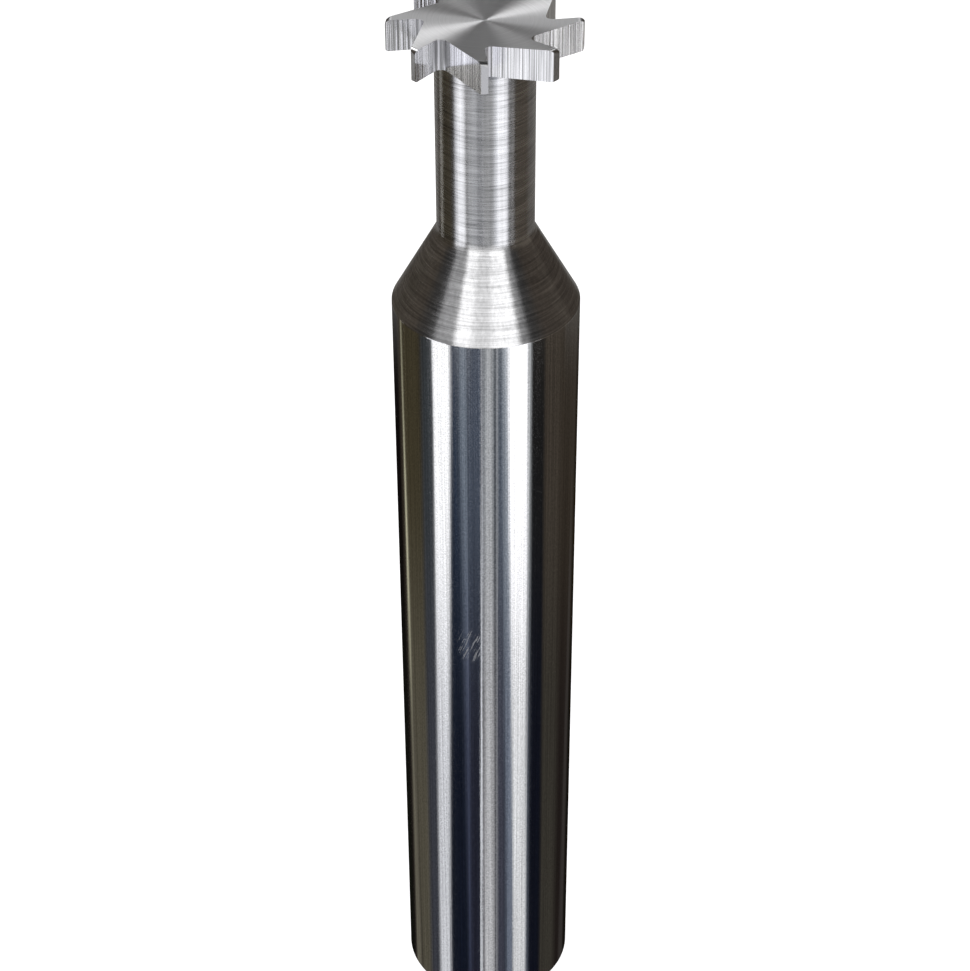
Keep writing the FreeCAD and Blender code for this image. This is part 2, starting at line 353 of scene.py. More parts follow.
@dataclass(frozen=True)
class ToothedHead:
    """The head: straight teeth with a raked front, a long back, a relieved land, a round upper corner
    and a small lower chamfer."""

    overall_length: float = 82.55
    tip_radius: float = 6.25
    head_width: float = 2.12
    dish_angle: float = 1.0
    upper_corner_radius: float = 0.4
    lower_corner_chamfer: float = 0.12
    grinding_stock: float = 0.05
    teeth: int = 8
    rake_angle: float = 5.0
    land_width: float = 0.44
    land_relief: float = 12.0
    root_radius: float = 0.45
    gullet_floor: float = 3.83
    around: int = 40
    centre_rings: int = 12
    root_rings: int = 10
    blade_rings: int = 9
    round_rings: int = 7
    tip_rows: int = 4
    wall_rows: int = 8

    @property
    def pitch(self) -> float:
        """The angle from tooth to tooth, in radians."""
        return 2 * math.pi / self.teeth

    @property
    def turned_radius(self) -> float:
        """The radius to which the head was turned before its lands were ground."""
        return self.tip_radius + self.grinding_stock

    @property
    def corner_round(self) -> float:
        """The radius of the turned head's upper corner."""
        return self.upper_corner_radius + self.grinding_stock

    @property
    def face_rim(self) -> float:
        """The radius where the upper side face runs into the round corner."""
        return self.round_ring(-math.radians(self.dish_angle))

    @property
    def chamfer_rim(self) -> float:
        """The radius where the underside ends and the lower chamfer begins."""
        return self.turned_radius - self.lower_corner_chamfer - self.grinding_stock

    @property
    def root_reach(self) -> float:
        """The distance of a root's centre from the tool's axis."""
        return self.gullet_floor + self.root_radius

    @property
    def root_turn(self) -> float:
        """The direction of the root's centre in the gullet in front of the first tooth."""
        rake = math.radians(self.rake_angle)
        offset = self.root_radius - self.tip_radius * math.sin(rake)
        return rake + math.asin(offset / self.root_reach)

    @property
    def heel(self) -> Vector:
        """The land's rear edge, where the tooth's back begins."""
        return polar(self.tip_radius, 0.0) + polar(self.land_width, -math.radians(90 + self.land_relief))

    def round_ring(self, turn: float) -> float:
        """The radius of the upper corner's round at a turn, in radians, from its highest point outwards."""
        return self.turned_radius - self.corner_round * (1 - math.sin(turn))

    def top(self, radius: float) -> float:
        """The height of the upper side face or of the round corner at this radius."""
        outside = max(radius, self.face_rim) - (self.turned_radius - self.corner_round)
        crown = self.overall_length - self.corner_round + math.sqrt(self.corner_round ** 2 - outside ** 2)
        return crown - math.tan(math.radians(self.dish_angle)) * max(0.0, self.face_rim - radius)

    def underside(self, radius: float) -> float:
        """The height of the lower side face or of the lower chamfer at this radius."""
        outside = radius - self.chamfer_rim
        slope = 1.0 if outside > 0 else -math.tan(math.radians(self.dish_angle))
        return self.overall_length - self.head_width + slope * outside

    def fillet_rim(self, body: TurnedBody) -> float:
        """The radius where the neck's fillet meets the underside."""
        return body.neck_radius + body.neck_fillet * (1 + math.sin(math.radians(self.dish_angle)))

    def back_line(self) -> tuple[Vector, float, float]:
        """The tooth's straight back.

        Returns:
            Its direction out towards the heel, its length and the radius of its foot.
        """
        centre = polar(self.root_reach, self.root_turn - self.pitch)
        across = self.heel - centre
        bearing = math.atan2(across.y, across.x)
        foot = centre + polar(self.root_radius, bearing + math.acos(self.root_radius / across.length))
        along = self.heel - foot
        return along.normalized(), along.length, foot.length

    def arc_swing(self, radius: float) -> float:
        """How far a root's arc is from the root's middle at this radius, as an angle round the axis."""
        reach, root = self.root_reach, self.root_radius
        cosine = (reach ** 2 + root ** 2 - radius ** 2) / (2 * reach * root)
        turn = math.acos(max(-1.0, min(1.0, cosine)))
        return math.asin(root * math.sin(turn) / radius)

    def limits(self, radius: float) -> tuple[float, float]:
        """The tooth's extent at a radius.

        Args:
            radius: a radius between the gullet floor and the face rim.

        Returns:
            The directions of its back and of its rake face there, in radians.
        """
        along, _, foot = self.back_line()
        reach = self.heel.dot(along)
        if radius > foot:
            step = reach - math.sqrt(reach ** 2 - self.heel.length ** 2 + radius ** 2)
            back = self.heel - along * step
            low = math.atan2(back.y, back.x)
        else:
            low = self.root_turn - self.pitch + self.arc_swing(radius)
        if radius > self.rake_foot():
            rake = math.radians(self.rake_angle)
            across = self.tip_radius * math.sin(rake)
            step = self.tip_radius * math.cos(rake) - math.sqrt(radius ** 2 - across ** 2)
            front = polar(self.tip_radius, 0.0) - polar(step, rake)
            high = math.atan2(front.y, front.x)
        else:
            high = self.root_turn - self.arc_swing(radius)
        return low, high

    def rake_foot(self) -> float:
        """The radius where the rake face runs into the root."""
        turn = math.radians(self.rake_angle) - math.pi / 2
        return (polar(self.root_reach, self.root_turn) + polar(self.root_radius, turn)).length

    def face_rings(self) -> list[float]:
        """Radii of the rings from the gullet floor to the face rim, close together on the root."""
        reach, root = self.root_reach, self.root_radius
        rake_turn = math.radians(self.rake_angle) + 1.5 * math.pi
        sweep = rake_turn - (self.root_turn + math.pi)
        arc = [math.sqrt(reach ** 2 + root ** 2 - 2 * reach * root * math.cos(turn))
               for turn in spaced(0.0, sweep, self.root_rings)]
        return arc + spaced(self.rake_foot(), self.face_rim, self.blade_rings)[1:]

    def corner_rings(self) -> list[float]:
        """Radii of the rings over the upper corner's round, as far out as the lower chamfer begins."""
        last = math.asin(1 - (self.turned_radius - self.chamfer_rim) / self.corner_round)
        return [self.round_ring(turn)
                for turn in spaced(-math.radians(self.dish_angle), last, self.round_rings)]

    def wedge(self) -> tuple[float, float]:
        """The wedge's first and last direction, through the middles of two gullet floors."""
        return self.root_turn - self.pitch, self.root_turn

    def lay(self, skin: Patchwork, body: TurnedBody) -> list[float]:
        """Lays the tooth's patches.

        Args:
            skin: the patchwork that takes them.
            body: the turned part below.

        Returns:
            The wedge's directions round the axis, which the turned part uses too.
        """
        angles = spaced(*self.wedge(), self.around)
        floor = self.gullet_floor
        face = [self.across_tooth(radius) for radius in self.face_rings()]
        face[0] = [polar(floor, angle) for angle in angles]
        corner = [self.across_tooth(radius) for radius in self.corner_rings()]
        land = [self.heel + (polar(self.tip_radius, 0.0) - self.heel) * share
                for share in spaced(0.0, 1.0, self.around)]
        tip = [[inner + (outer - inner) * share for inner, outer in zip(corner[-1], land)]
               for share in spaced(0.0, 1.0, self.tip_rows)]
        centre = [[polar(radius, angle) for angle in angles]
                  for radius in spaced(0.0, floor, self.centre_rings)]
        collar = [[polar(radius, angle) for angle in angles] for radius in (floor, self.fillet_rim(body))]

        skin.grid(self.raised(centre, self.top), Region.SIDE_FACE)
        skin.grid(self.raised(face, self.top), Region.SIDE_FACE)
        skin.grid(self.raised(corner + tip[1:], self.top), Region.CORNER)
        self.lay_walls(skin, face + corner[1:] + tip[1:], land)
        skin.grid(self.raised(tip[::-1], self.underside), Region.CORNER)
        skin.grid(self.raised((face + corner[1:])[::-1], self.underside), Region.UNDERSIDE)
        skin.grid(self.raised(collar, self.underside), Region.UNDERSIDE)
        return angles

    def across_tooth(self, radius: float) -> list[Vector]:
        """Points across the tooth at a radius, from its back to its rake face."""
        return [polar(radius, angle) for angle in spaced(*self.limits(radius), self.around)]

    def lay_walls(self, skin: Patchwork, rows: Sequence[Sequence[Vector]], land: Sequence[Vector]) -> None:
        """Lays the upright faces round the tooth.

        Args:
            skin: the patchwork that takes them.
            rows: the rings over the tooth, from the gullet floor out to the land.
            land: points along the land, from heel to cutting edge.
        """
        back = [row[0] for row in rows]
        front = [row[-1] for row in rows][::-1]
        root_rows = self.root_rings
        skin.grid(self.upright(back[:2]), Region.ROOT)
        skin.grid(self.upright(back[1:]), Region.BACK)
        skin.grid(self.upright(land), Region.LAND)
        skin.grid(self.upright(front[:-root_rows]), Region.RAKE)
        skin.grid(self.upright(front[-root_rows - 1:]), Region.ROOT)

    def upright(self, outline: Sequence[Vector]) -> list[list[Vector]]:
        """Rows of points from the upper to the lower side face along part of the tooth's outline."""
        rows = []
        for share in spaced(0.0, 1.0, self.wall_rows):
            row = []
            for point in outline:
                top, bottom = self.top(point.length), self.underside(point.length)
                row.append(Vector((point.x, point.y, top + (bottom - top) * share)))
            rows.append(row)
        return rows

    @staticmethod
    def raised(rows: Sequence[Sequence[Vector]], height: Callable[[float], float]) -> list[list[Vector]]:
        """The same rows, each point lifted to the height that belongs to its radius."""
        return [[Vector((point.x, point.y, height(point.length))) for point in row] for row in rows]


# finishes

# what a mark group takes: a place, the distance between marks in millimetres, and how fast they change
MARK_INPUTS: dict[str, Value] = {"Position": (0.0, 0.0, 0.0), "Spacing": 0.1, "Drift": 0.5}
# the heights that it gives lie over this span, with zero in the middle
MARK_HEIGHT_SPAN = 4.0

# the patch of scratches on the shank, in millimetres, and how far they lean, in degrees
SCRATCH_CENTRE = (-1.43, -6.19, 36.8)
SCRATCH_REACH = (1.15, 2.0, 1.9)
SCRATCH_LEAN = -19.0
STROKE_THRESHOLDS = (0.50, 0.66)
PATCH_FADE = (1.0, 0.5)

LEAST_ROUGHNESS = 0.03
# the turn of a smeared reflection is counted in whole turns
QUARTER_TURN = 0.25


@dataclass(frozen=True)
class Lines:
    """One set of marks that a tool left.

    Attributes:
        marks: how they run.
        spacing: the distance between them.
        depth: their depth in micrometres.
        tone: how much lighter and darker they make the steel.
        sheen: how much they change the roughness.
        drift: how fast they change along their own length, in changes per millimetre or turn.
    """

    marks: Marks
    spacing: float
    depth: float
    tone: float = 0.0
    sheen: float = 0.0
    drift: float = 0.5


@dataclass(frozen=True)
class SteelFinish:
    """One machined finish on the steel."""

    name: str
    colour: Colour
    roughness: float
    anisotropy: float
    spread: Spread
    lines: tuple[Lines, ...]

    def material(self) -> bpy.types.Material:
        """Builds the finish.

        Returns:
            The material: bare metal whose marks vary its colour, roughness and height.
        """
        made = bpy.data.materials.new(self.name)
        made.use_nodes = True
        made.node_tree.nodes.clear()
        graph = Graph(made.node_tree)
        place = graph.node("ShaderNodeTexCoord").outputs["Object"]
        height, tone, sheen = 0.0, 1.0, self.roughness
        for line in self.lines:
            marks = use_group(graph, line.marks.value,
                              {"Position": place, "Spacing": line.spacing, "Drift": line.drift})
            if line.depth:
                height = graph.math("MULTIPLY_ADD", marks.outputs["Height"], line.depth, height)
            if line.tone:
                tone = graph.math("MULTIPLY_ADD", marks.outputs["Height"], line.tone, tone)
            if line.sheen:
                sheen = graph.math("MULTIPLY_ADD", marks.outputs["Height"], line.sheen, sheen)
        shader = graph.node("ShaderNodeBsdfPrincipled", {
            "Metallic": 1.0, "Anisotropic": self.anisotropy,
            "Base Color": graph.scaled(self.colour, tone),
            "Roughness": graph.math("MAXIMUM", sheen, LEAST_ROUGHNESS),
        })
        bump = graph.node("ShaderNodeBump", {"Strength": 1.0, "Distance": MICROMETRE, "Height": height})
        graph.feed(shader.inputs["Normal"], bump.outputs["Normal"])
        if self.spread is Spread.ACROSS_TURNING:
            shader.inputs["Anisotropic Rotation"].default_value = QUARTER_TURN
            tangent = graph.node("ShaderNodeTangent", direction_type="RADIAL", axis="Z")
            graph.feed(shader.inputs["Tangent"], tangent.outputs["Tangent"])
        else:
            normal = graph.node("ShaderNodeNewGeometry").outputs["Normal"]
            level = graph.vector_math("CROSS_PRODUCT", normal, (0.0, 0.0, 1.0))
            graph.feed(shader.inputs["Tangent"], level)
        output = graph.node("ShaderNodeOutputMaterial")
        graph.feed(output.inputs["Surface"], shader.outputs["BSDF"])
        return made


def build_mark_groups() -> None:
    """Builds the node groups for the marks of turning, facing, axial grinding and the steel's own grain."""
    for marks in (Marks.TURNED, Marks.FACED, Marks.AXIAL, Marks.GRAIN):
        graph, entry, leave = new_group(marks.value, MARK_INPUTS, {"Height": 0.0})
        place = graph.scaled(entry["Position"], MM_PER_METRE)
        parts = graph.node("ShaderNodeSeparateXYZ", {0: place})
        flat = graph.combined(x=parts.outputs[0], y=parts.outputs[1])
        rate = graph.math("DIVIDE", 1.0, entry["Spacing"])
        if marks is Marks.GRAIN:
            vector = graph.scaled(place, rate)
        elif marks is Marks.AXIAL:
            rise = graph.math("MULTIPLY", parts.outputs[2], entry["Drift"])
            vector = graph.vector_math("ADD", graph.scaled(flat, rate), graph.combined(z=rise))
        else:
            around = graph.scaled(graph.vector_math("NORMALIZE", flat), entry["Drift"])
            along = parts.outputs[2] if marks is Marks.TURNED else graph.length(flat)
            vector = graph.vector_math("ADD", around, graph.combined(z=graph.math("MULTIPLY", along, rate)))
        height = graph.math("MULTIPLY_ADD", graph.noise(vector), MARK_HEIGHT_SPAN, -MARK_HEIGHT_SPAN / 2)
        graph.feed(leave["Height"], height)


def build_scratch_group() -> None:
    """Builds the node group for one small patch of leaning scratches, with the sockets of the other marks."""
    graph, entry, leave = new_group(Marks.SCRATCHES.value, MARK_INPUTS, {"Height": 0.0})
    place = graph.vector_math("SUBTRACT", graph.scaled(entry["Position"], MM_PER_METRE), SCRATCH_CENTRE)
    patch = graph.length(graph.vector_math("DIVIDE", place, SCRATCH_REACH))
    leaning = graph.node("ShaderNodeVectorRotate", {"Vector": place, "Angle": math.radians(SCRATCH_LEAN)},
                         rotation_type="Y_AXIS")
    parts = graph.node("ShaderNodeSeparateXYZ", {0: leaning.outputs[0]})
    across = graph.math("DIVIDE", parts.outputs[0], entry["Spacing"])
    along = graph.math("MULTIPLY", parts.outputs[2], entry["Drift"])
    strokes = graph.ramp(graph.noise(graph.combined(x=across, z=along)), *STROKE_THRESHOLDS)
    graph.feed(leave["Height"], graph.math("MULTIPLY", strokes, graph.ramp(patch, *PATCH_FADE)))


STEEL: Colour = (0.66, 0.66, 0.67)
# a darker base colour for the roots and lands, painted shade: the roots sit deep in the gullets and the lands
# mirror a dark part of the room
SHADE_DARKENED_STEEL: Colour = (0.45, 0.45, 0.46)

FINISHES: dict[Region, SteelFinish] = {
    Region.SHANK: SteelFinish(
        "polished_shank", STEEL, 0.09, 0.6, Spread.ACROSS_TURNING,
        (Lines(Marks.AXIAL, 0.25, 0.6, tone=0.16, drift=0.02),
         Lines(Marks.AXIAL, 0.09, 0.1, tone=0.20, drift=0.05),
         Lines(Marks.GRAIN, 0.11, 0.15, tone=0.24, sheen=0.02),
         Lines(Marks.SCRATCHES, 0.12, 0.0, sheen=0.25, drift=0.6))),
    Region.SHANK_END: SteelFinish(
        "shank_end", STEEL, 0.28, 0.8, Spread.ACROSS_TURNING,
        (Lines(Marks.FACED, 0.12, 0.8, tone=0.06, sheen=0.04),)),
    Region.CONE: SteelFinish(
        "turned_cone", STEEL, 0.22, 0.85, Spread.ACROSS_TURNING,
        (Lines(Marks.TURNED, 0.12, 1.6, tone=0.34, sheen=0.03, drift=1.2),
         Lines(Marks.TURNED, 0.42, 3.0, tone=0.14, drift=0.8),
         Lines(Marks.AXIAL, 0.22, 0.3, tone=0.14, drift=0.08))),
    Region.NECK: SteelFinish(
        "turned_neck", STEEL, 0.27, 0.9, Spread.ACROSS_TURNING,
        (Lines(Marks.TURNED, 0.11, 0.8, tone=0.42, sheen=0.03, drift=1.0),
         Lines(Marks.TURNED, 0.50, 1.0, tone=0.14, drift=0.7),
         Lines(Marks.AXIAL, 0.16, 0.08, tone=0.12, drift=0.08))),
    Region.SIDE_FACE: SteelFinish(
        "faced_side", STEEL, 0.36, 0.97, Spread.ACROSS_TURNING,
        (Lines(Marks.FACED, 0.09, 0.4, tone=0.09, sheen=0.02, drift=1.0),)),
    Region.UNDERSIDE: SteelFinish(
        "faced_underside", STEEL, 0.36, 0.9, Spread.ACROSS_TURNING,
        (Lines(Marks.FACED, 0.09, 0.6, tone=0.10, sheen=0.03, drift=1.0),)),
    Region.RAKE: SteelFinish(
        "ground_rake", STEEL, 0.13, 0.80, Spread.ACROSS_AXIAL,
        (Lines(Marks.AXIAL, 0.06, 1.6, tone=0.70, sheen=0.03, drift=0.10),
         Lines(Marks.AXIAL, 0.24, 5.0, tone=0.20, drift=0.06))),
    Region.BACK: SteelFinish(
        "ground_back", STEEL, 0.17, 0.92, Spread.ACROSS_AXIAL,
        (Lines(Marks.AXIAL, 0.06, 1.2, tone=0.85, sheen=0.03, drift=0.10),
         Lines(Marks.AXIAL, 0.24, 3.0, tone=0.45, drift=0.06))),
    # the root's darkened base colour is painted shade of the gullet's recess
    Region.ROOT: SteelFinish(
        "ground_root", SHADE_DARKENED_STEEL, 0.28, 0.5, Spread.ACROSS_AXIAL,
        (Lines(Marks.AXIAL, 0.08, 1.0, tone=0.12, sheen=0.03, drift=0.15),)),
    # the land's darkened base colour is painted shade standing in for its dark reflection
    Region.LAND: SteelFinish(
        "ground_land", SHADE_DARKENED_STEEL, 0.12, 0.3, Spread.ACROSS_AXIAL,
        (Lines(Marks.GRAIN, 0.06, 0.1, tone=0.06, sheen=0.03),)),
    Region.CORNER: SteelFinish(
        "rounded_corner", STEEL, 0.20, 0.4, Spread.ACROSS_TURNING,
        (Lines(Marks.FACED, 0.05, 0.2, tone=0.06, sheen=0.03),)),
}


# assembly

# points nearer than this, in millimetres, are welded; edges sharper than this, in degrees, stay sharp
WELD_DISTANCE = 0.001
CREASE_ANGLE = 32.0


class ArrayTree:
    """The node tree that repeats the wedge round the axis, welds it and gives each region its finish."""

    def __init__(self, materials: dict[Region, bpy.types.Material]) -> None:
        """Builds the tree.

        Args:
            materials: the finish of each region.
        """
        self.tree = bpy.data.node_groups.new("repeat_round_axis", "GeometryNodeTree")
        self._socket("Wedge", "INPUT", "NodeSocketGeometry")
        self.teeth = self._socket("Teeth", "INPUT", "NodeSocketInt")
        self.weld = self._socket("Weld distance", "INPUT", "NodeSocketFloat")
        self._socket("Cutter", "OUTPUT", "NodeSocketGeometry")
        graph = Graph(self.tree)
        entry, leave = graph.node("NodeGroupInput"), graph.node("NodeGroupOutput")
        spots = graph.node("GeometryNodeMeshLine", {
            "Count": entry.outputs["Teeth"], "Offset": (0.0, 0.0, 0.0)})
        step = graph.math("DIVIDE", 2 * math.pi, entry.outputs["Teeth"])
        turn = graph.math("MULTIPLY", graph.node("GeometryNodeInputIndex").outputs[0], step)
        spin = graph.node("FunctionNodeEulerToRotation", {0: graph.combined(z=turn)}).outputs[0]
        copies = graph.node("GeometryNodeInstanceOnPoints", {
            "Points": spots.outputs["Mesh"], "Instance": entry.outputs["Wedge"], "Rotation": spin})
        whole = graph.node("GeometryNodeRealizeInstances", {0: copies.outputs[0]})
        welded = graph.node("GeometryNodeMergeByDistance", {
            "Geometry": whole.outputs[0], "Distance": entry.outputs["Weld distance"]})
        kind = graph.node("GeometryNodeInputNamedAttribute", {"Name": "region"}, data_type="INT")
        dressed = welded.outputs[0]
        for region, material in materials.items():
            chosen = graph.node("FunctionNodeCompare", data_type="INT", operation="EQUAL")
            graph.feed(chosen.inputs[COMPARE_FIRST], kind.outputs[0])
            graph.feed(chosen.inputs[COMPARE_SECOND], region.value)
            dressed = graph.node("GeometryNodeSetMaterial", {
                "Geometry": dressed, "Selection": chosen.outputs[0], "Material": material}).outputs[0]
        graph.feed(leave.inputs[0], dressed)

    def _socket(self, name: str, direction: str, kind: str) -> str:
        """Adds a named socket to the tree and gives its identifier."""
        return self.tree.interface.new_socket(name=name, in_out=direction, socket_type=kind).identifier

    def apply(self, wedge: bpy.types.Mesh, teeth: int, name: str) -> bpy.types.Mesh:
        """Runs the tree.

        Args:
            wedge: the mesh of one wedge.
            teeth: how many wedges go round.
            name: the name of the result.

        Returns:
            The whole cutter as a plain mesh.
        """
        carrier = bpy.data.objects.new("wedge", wedge)
        bpy.context.collection.objects.link(carrier)
        modifier = carrier.modifiers.new("repeat", "NODES")
        modifier.node_group = self.tree
        modifier[self.teeth] = teeth
        modifier[self.weld] = WELD_DISTANCE * MM
        graph = bpy.context.evaluated_depsgraph_get()
        made = bpy.data.meshes.new_from_object(carrier.evaluated_get(graph), depsgraph=graph)
        carrier.modifiers.remove(modifier)
        bpy.data.objects.remove(carrier)
        made.name = name
        return made


@dataclass(frozen=True)
class Cutter:
    """The whole tool, one piece of steel."""

    body: TurnedBody = field(default_factory=TurnedBody)
    head: ToothedHead = field(default_factory=ToothedHead)

    def build(self) -> bpy.types.Object:
        """Makes the cutter and ties it to the frame.

        Returns:
            The finished piece.
        """
        skin = Patchwork()
        angles = self.head.lay(skin, self.body)
        self.body.lay(skin, angles, self.head)
        build_mark_groups()
        build_scratch_group()
        tree = ArrayTree({region: finish.material() for region, finish in FINISHES.items()})
        mesh = tree.apply(skin.mesh("wedge"), self.head.teeth, PIECE)
        self.close(mesh)
        piece = bpy.data.objects.new(PIECE, mesh)
        bpy.context.collection.objects.link(piece)
        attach(piece, BODY)
        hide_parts(NODE)
        LOG.info("%s: %d faces, %d finishes", piece.name, len(mesh.polygons), len(mesh.materials))
        return piece

    @staticmethod
    def close(mesh: bpy.types.Mesh) -> None:
        """Turns every face outwards, checks that the skin is closed and rounds the shading.

        Args:
            mesh: the cutter's mesh.

        Raises:
            RuntimeError: if an edge doesn't have two faces.
        """
        work = bmesh.new()
        work.from_mesh(mesh)
        bmesh.ops.recalc_face_normals(work, faces=work.faces)
        open_edges = sum(1 for edge in work.edges if len(edge.link_faces) != 2)
        volume = work.calc_volume()
        work.to_mesh(mesh)
        work.free()
        if open_edges or volume <= 0:
            raise RuntimeError(f"the cutter's skin has {open_edges} open edges and a volume of {volume}")
        LOG.info("closed skin of %.3f cm3", volume * CM3_PER_M3)
        mesh.shade_smooth()
        mesh.set_sharp_from_angle(angle=math.radians(CREASE_ANGLE))


# studio


@dataclass(frozen=True)
class Band:
    """An upright band of the room below the horizon, as the shank mirrors it.

    Bearings are degrees from the camera's side, positive to the camera's right. A pair gives the value low
    down and the value higher up, just under the shoulder.

    Attributes:
        name: what it is.
        left: the left edge's bearing, low and high.
        right: the right edge's bearing, low and high.
        low: brightness colour low down.
        high: brightness colour higher up.
        edge: softness of the left and right edges.
    """

    name: str
    left: tuple[float, float]
    right: tuple[float, float]
    low: Colour
    high: Colour
    edge: float

    def sockets(self) -> dict[str, Value]:
        """What goes into the band's node group."""
        return {"Left": self.left[0], "Left shift": self.left[1] - self.left[0],
                "Right": self.right[0], "Right shift": self.right[1] - self.right[0],
                "Low": (*self.low, 1.0), "High": (*self.high, 1.0), "Edge": self.edge}


@dataclass(frozen=True)
class Card:
    """A light, a reflector or a dark flag round the tool, as its neck, cone and head mirror it.

    Attributes:
        name: what it is.
        left: the left edge's bearing.
        right: the right edge's bearing.
        bottom: the lowest elevation.
        top: the highest elevation.
        colour: brightness colour.
        edge: softness of the left and right edges.
        fade: softness of the lower and upper ends.
    """

    name: str
    left: float
    right: float
    bottom: float
    top: float
    colour: Colour
    edge: float
    fade: float

    def sockets(self) -> dict[str, Value]:
        """What goes into the card's node group."""
        return {"Middle": (self.left + self.right) / 2, "Half width": (self.right - self.left) / 2,
                "Centre": (self.bottom + self.top) / 2, "Half height": (self.top - self.bottom) / 2,
                "Edge": self.edge, "Fade": self.fade, "Colour": (*self.colour, 1.0)}


def grey(level: float) -> Colour:
    """A neutral brightness."""
    return (level, level, level)


BROWN: Colour = (0.032, 0.026, 0.020)

BANDS: tuple[Band, ...] = (
    Band("brown room", (-150.7, -149.4), (150.5, 140.4),
         (0.012, 0.009, 0.008), (0.028, 0.022, 0.016), 5),
    Band("right brown wall", (78.4, 75.7), (113.5, 106.5),
         (0.033, 0.030, 0.024), (0.043, 0.035, 0.027), 10),
    Band("right dusk", (129.1, 144.6), (164.7, 137),
         (0.030, 0.026, 0.024), (0.045, 0.039, 0.033), 2.5),
    Band("left olive wall", (-115.8, -131.1), (-89.1, -89.9),
         (0.072, 0.065, 0.047), (0.041, 0.034, 0.019), 5),
    Band("far left line", (-133, -128.5), (-118.8, -129.5),
         (0.110, 0.101, 0.076), (0.800, 0.770, 0.540), 4),
    Band("left dusk", (-93.5, -88.4), (-63.2, -62.6),
         (0.034, 0.036, 0.045), (0.031, 0.036, 0.040), 6),
    Band("front", (-69.6, -60.1), (43.9, 34),
         (0.004, 0.006, 0.013), (0.016, 0.025, 0.044), 3),
    Band("left streak", (-26.4, -33.3), (-15.4, -24),
         (0.060, 0.070, 0.116), (0.160, 0.191, 0.232), 6),
    Band("right strip's haze", (27.5, 19), (36, 33.5),
         (0.135, 0.158, 0.205), (0.222, 0.250, 0.282), 5),
    Band("left strip", (-75.4, -68.6), (-57.4, -45),
         (0.550, 0.560, 0.585), (1.120, 1.125, 1.130), 3.4),
    Band("right strip", (37.5, 26.5), (63.4, 60.6),
         (0.590, 0.598, 0.605), (1.180, 1.175, 1.190), 2.8),
    Band("right strip's fringe", (56.5, 52.5), (65, 68.6),
         (0.060, 0.070, 0.090), (0.330, 0.345, 0.352), 3),
    Band("right flag", (60.6, 57.4), (81.3, 77.7),
         (0.004, 0.005, 0.010), (0.008, 0.008, 0.008), 3),
    Band("far left shade", (-180, -180), (-139.5, -140.6),
         (0.004, 0.004, 0.003), (0.003, 0.002, 0.002), 6),
    Band("far right shade", (145, 151.8), (180, 180),
         (0.005, 0.004, 0.003), (0.011, 0.008, 0.005), 4),
    Band("left shadow", (-25.3, -23.9), (-12.1, -7),
         (0.013, 0.014, 0.024), (0.055, 0.068, 0.094), 3),
    Band("right shadow", (11.1, 9.1), (23.7, 18.1),
         (0.044, 0.046, 0.064), (0.086, 0.105, 0.135), 4),
    Band("gap", (-8.6, -4), (13.4, 15.4),
         (0.132, 0.129, 0.137), (0.126, 0.141, 0.155), 1.2),
    Band("gap's light", (-4.6, -1.6), (9, 7.6),
         (0.440, 0.442, 0.452), (0.380, 0.392, 0.405), 3),
    Band("gap's slit", (9.6, 9.6), (11.6, 11.8),
         (0.035, 0.036, 0.044), (0.070, 0.078, 0.090), 0.8),
    Band("gap's rim", (12, 12.4), (14, 14.6),
         (0.200, 0.205, 0.220), (0.240, 0.250, 0.270), 0.8),
    Band("gap's edge", (-10.6, -6), (-8.6, -4),
         (0.800, 0.820, 0.860), (0.360, 0.368, 0.392), 0.7),
)

CARDS: tuple[Card, ...] = (
    Card("ceiling", -180, 180, 8, 95, grey(0.026), 2, 8),
    Card("back grey", 100, 260, -60, -21.8, (0.164, 0.158, 0.148), 10, 4),
    Card("left brown room", -150, -88, -12, 60, (0.044, 0.036, 0.028), 8, 6),
    Card("right brown room", 70, 150, -12, 60, (0.038, 0.031, 0.025), 8, 6),
    Card("left side", -134.6, -72, -60, 1.7, (0.034, 0.028, 0.020), 6, 4),
    Card("right side", 60, 112.4, -60, 1.7, (0.080, 0.069, 0.056), 6, 4),
    Card("front mist", -40.4, 23.5, -60, -7.6, grey(0.418), 4, 3),
    Card("mist's dark", -18.6, 3, -60, -7.6, grey(0.036), 3, 3),
    Card("mist's light", 3.5, 12, -60, -7.6, grey(0.241), 2, 3),
    Card("left wall", -63.4, -30, 0, 62, grey(0.279), 4, 6),
    Card("right wall", 30, 52, 0, 62, grey(0.197), 3, 6),
    Card("front sky", -37.8, 39.9, 0.8, 34.3, grey(1.221), 3, 6),
    Card("sky dip", -16.5, 7.2, 8.8, 75, grey(0.667), 6, 4),
    Card("left strip", -71.5, -47.4, -60, -8.1, (1.110, 1.115, 1.145), 2, 4),
    Card("right strip", 20.5, 51.5, -60, -12, (1.240, 1.245, 1.280), 2, 4),
    Card("front light", -42, -3, -29.5, -23.5, (0.740, 0.745, 0.770), 3, 1),
    Card("far left light", -124, -112.7, -27.2, -24.4, (0.880, 0.870, 0.850), 0.8, 0.6),
    Card("far left shade", -112, -96, -29.2, -24.2, grey(0.01), 1, 1),
    Card("left strip's core", -74, -47.5, -29.2, -24, (1.020, 1.030, 1.120), 2.5, 0.9),
    Card("right strip's core", 21, 54, -29.2, -24, (1.020, 1.030, 1.120), 2.5, 0.9),
    Card("right wing", 56, 68.6, -27.2, -24, (1.300, 1.305, 1.320), 0.8, 0.6),
    Card("lobe light", -165, -139.8, 29.2, 48.3, grey(2.884), 4, 4),
    Card("second lobe light", 146.7, 165, 46.2, 62.5, grey(1.501), 6, 4),
    Card("back wall", 149.8, 210.2, 23.3, 29, grey(0.956), 8, 4),
    Card("rear window", 160, 184, -19, -4, grey(0.38), 5, 4),
)

# elevations between which the bands' edges and colours go from low to high, and bands give way to cards
RISE_ELEVATIONS = (-47.0, -34.0)
GLOW_ELEVATIONS = (-42.5, -35.5)
HORIZON = (-34.0, -28.0)

STUDIO_STRENGTH = 1.5
